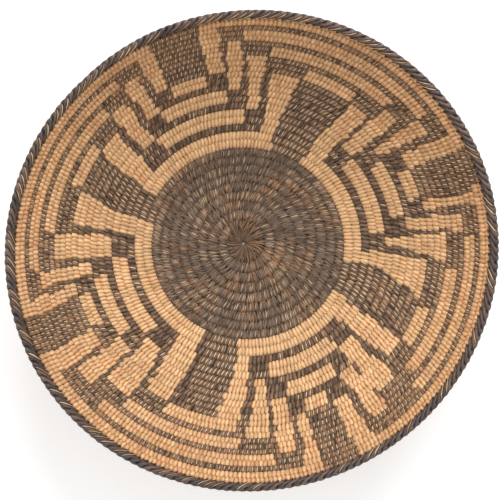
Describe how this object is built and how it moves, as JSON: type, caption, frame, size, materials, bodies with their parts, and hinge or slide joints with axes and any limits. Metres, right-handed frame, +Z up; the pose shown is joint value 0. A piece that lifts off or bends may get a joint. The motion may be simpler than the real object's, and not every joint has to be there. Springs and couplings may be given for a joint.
{
  "type": "coiled basket tray",
  "caption": "Round shallow coiled basket tray with a flat base, a curved wall, a braided rim and a dark fret sewn over pale coils.",
  "frame": {"origin": "on the surface the tray stands on, under the middle of the rim", "axes": "+Z up, out of the bowl's mouth; +Y towards the top of the picture and +X towards its right"},
  "size_m": [0.382, 0.3738, 0.1001],
  "materials": {
    "pale_splint": "dry split stems, matte",
    "dark_splint": "dark split stems, dull",
    "braid_splint": "nearly black split stems, dull"
  },
  "bodies": {
    "root": {"base_coil": "pale_splint", "lower_wall_coil": "pale_splint", "middle_wall_coil": "pale_splint", "upper_wall_coil": "pale_splint", "start_knot": "dark_splint", "dark_centre_sewing": "dark_splint", "dark_petal_1": "dark_splint", "dark_petal_2": "dark_splint", "dark_petal_3": "dark_splint", "dark_petal_4": "dark_splint", "dark_rim_block_1": "dark_splint", "dark_rim_block_2": "dark_splint", "dark_rim_block_3": "dark_splint", "dark_rim_block_4": "dark_splint", "fret_line_1_quarter_1": "dark_splint", "fret_line_2_quarter_1": "dark_splint", "fret_line_3_quarter_1": "dark_splint", "fret_line_1_quarter_2": "dark_splint", "fret_line_2_quarter_2": "dark_splint", "fret_line_3_quarter_2": "dark_splint", "fret_line_1_quarter_3": "dark_splint", "fret_line_2_quarter_3": "dark_splint", "fret_line_3_quarter_3": "dark_splint", "fret_line_1_quarter_4": "dark_splint", "fret_line_2_quarter_4": "dark_splint", "fret_line_3_quarter_4": "dark_splint", "rim_braid": "braid_splint"}
  },
  "joints": []
}
